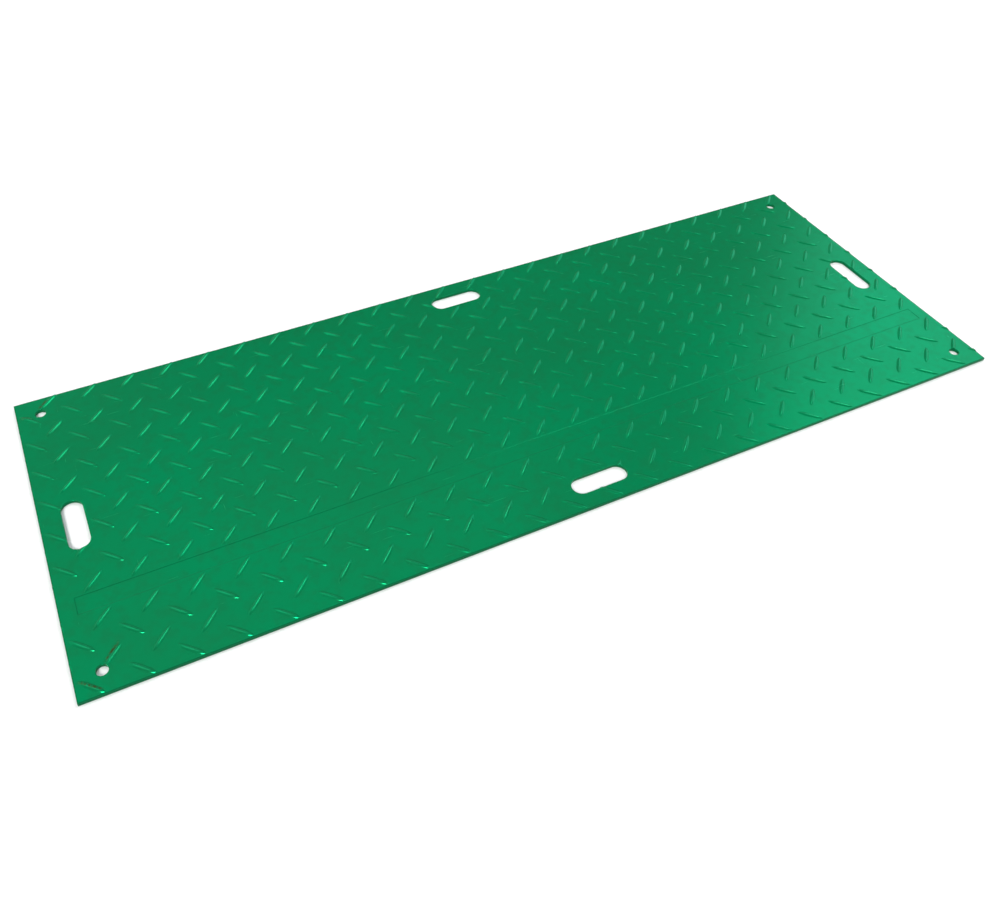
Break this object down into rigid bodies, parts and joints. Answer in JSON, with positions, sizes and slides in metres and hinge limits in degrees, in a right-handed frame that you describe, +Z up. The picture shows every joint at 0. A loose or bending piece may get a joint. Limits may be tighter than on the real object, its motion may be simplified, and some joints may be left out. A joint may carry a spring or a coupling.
{
  "type": "ground protection mat",
  "caption": "Long flat plastic track mat with raised diagonal tread bars, a plain marking strip, hand slots at its edges and round holes at its corners.",
  "frame": {"origin": "on the underside, at the middle of the mat's length and width", "axes": "+X along the mat's length, from the end with the first column of bars to the other; +Y across it, from the front edge, beside which the plain strip runs, to the back edge; +Z up out of the tread side"},
  "size_m": [2.43, 0.91, 0.0127],
  "materials": {
    "polyethylene": "semi-gloss moulded green high-density polyethylene"
  },
  "bodies": {
    "root": {"ground_mat": "polyethylene"}
  },
  "joints": []
}
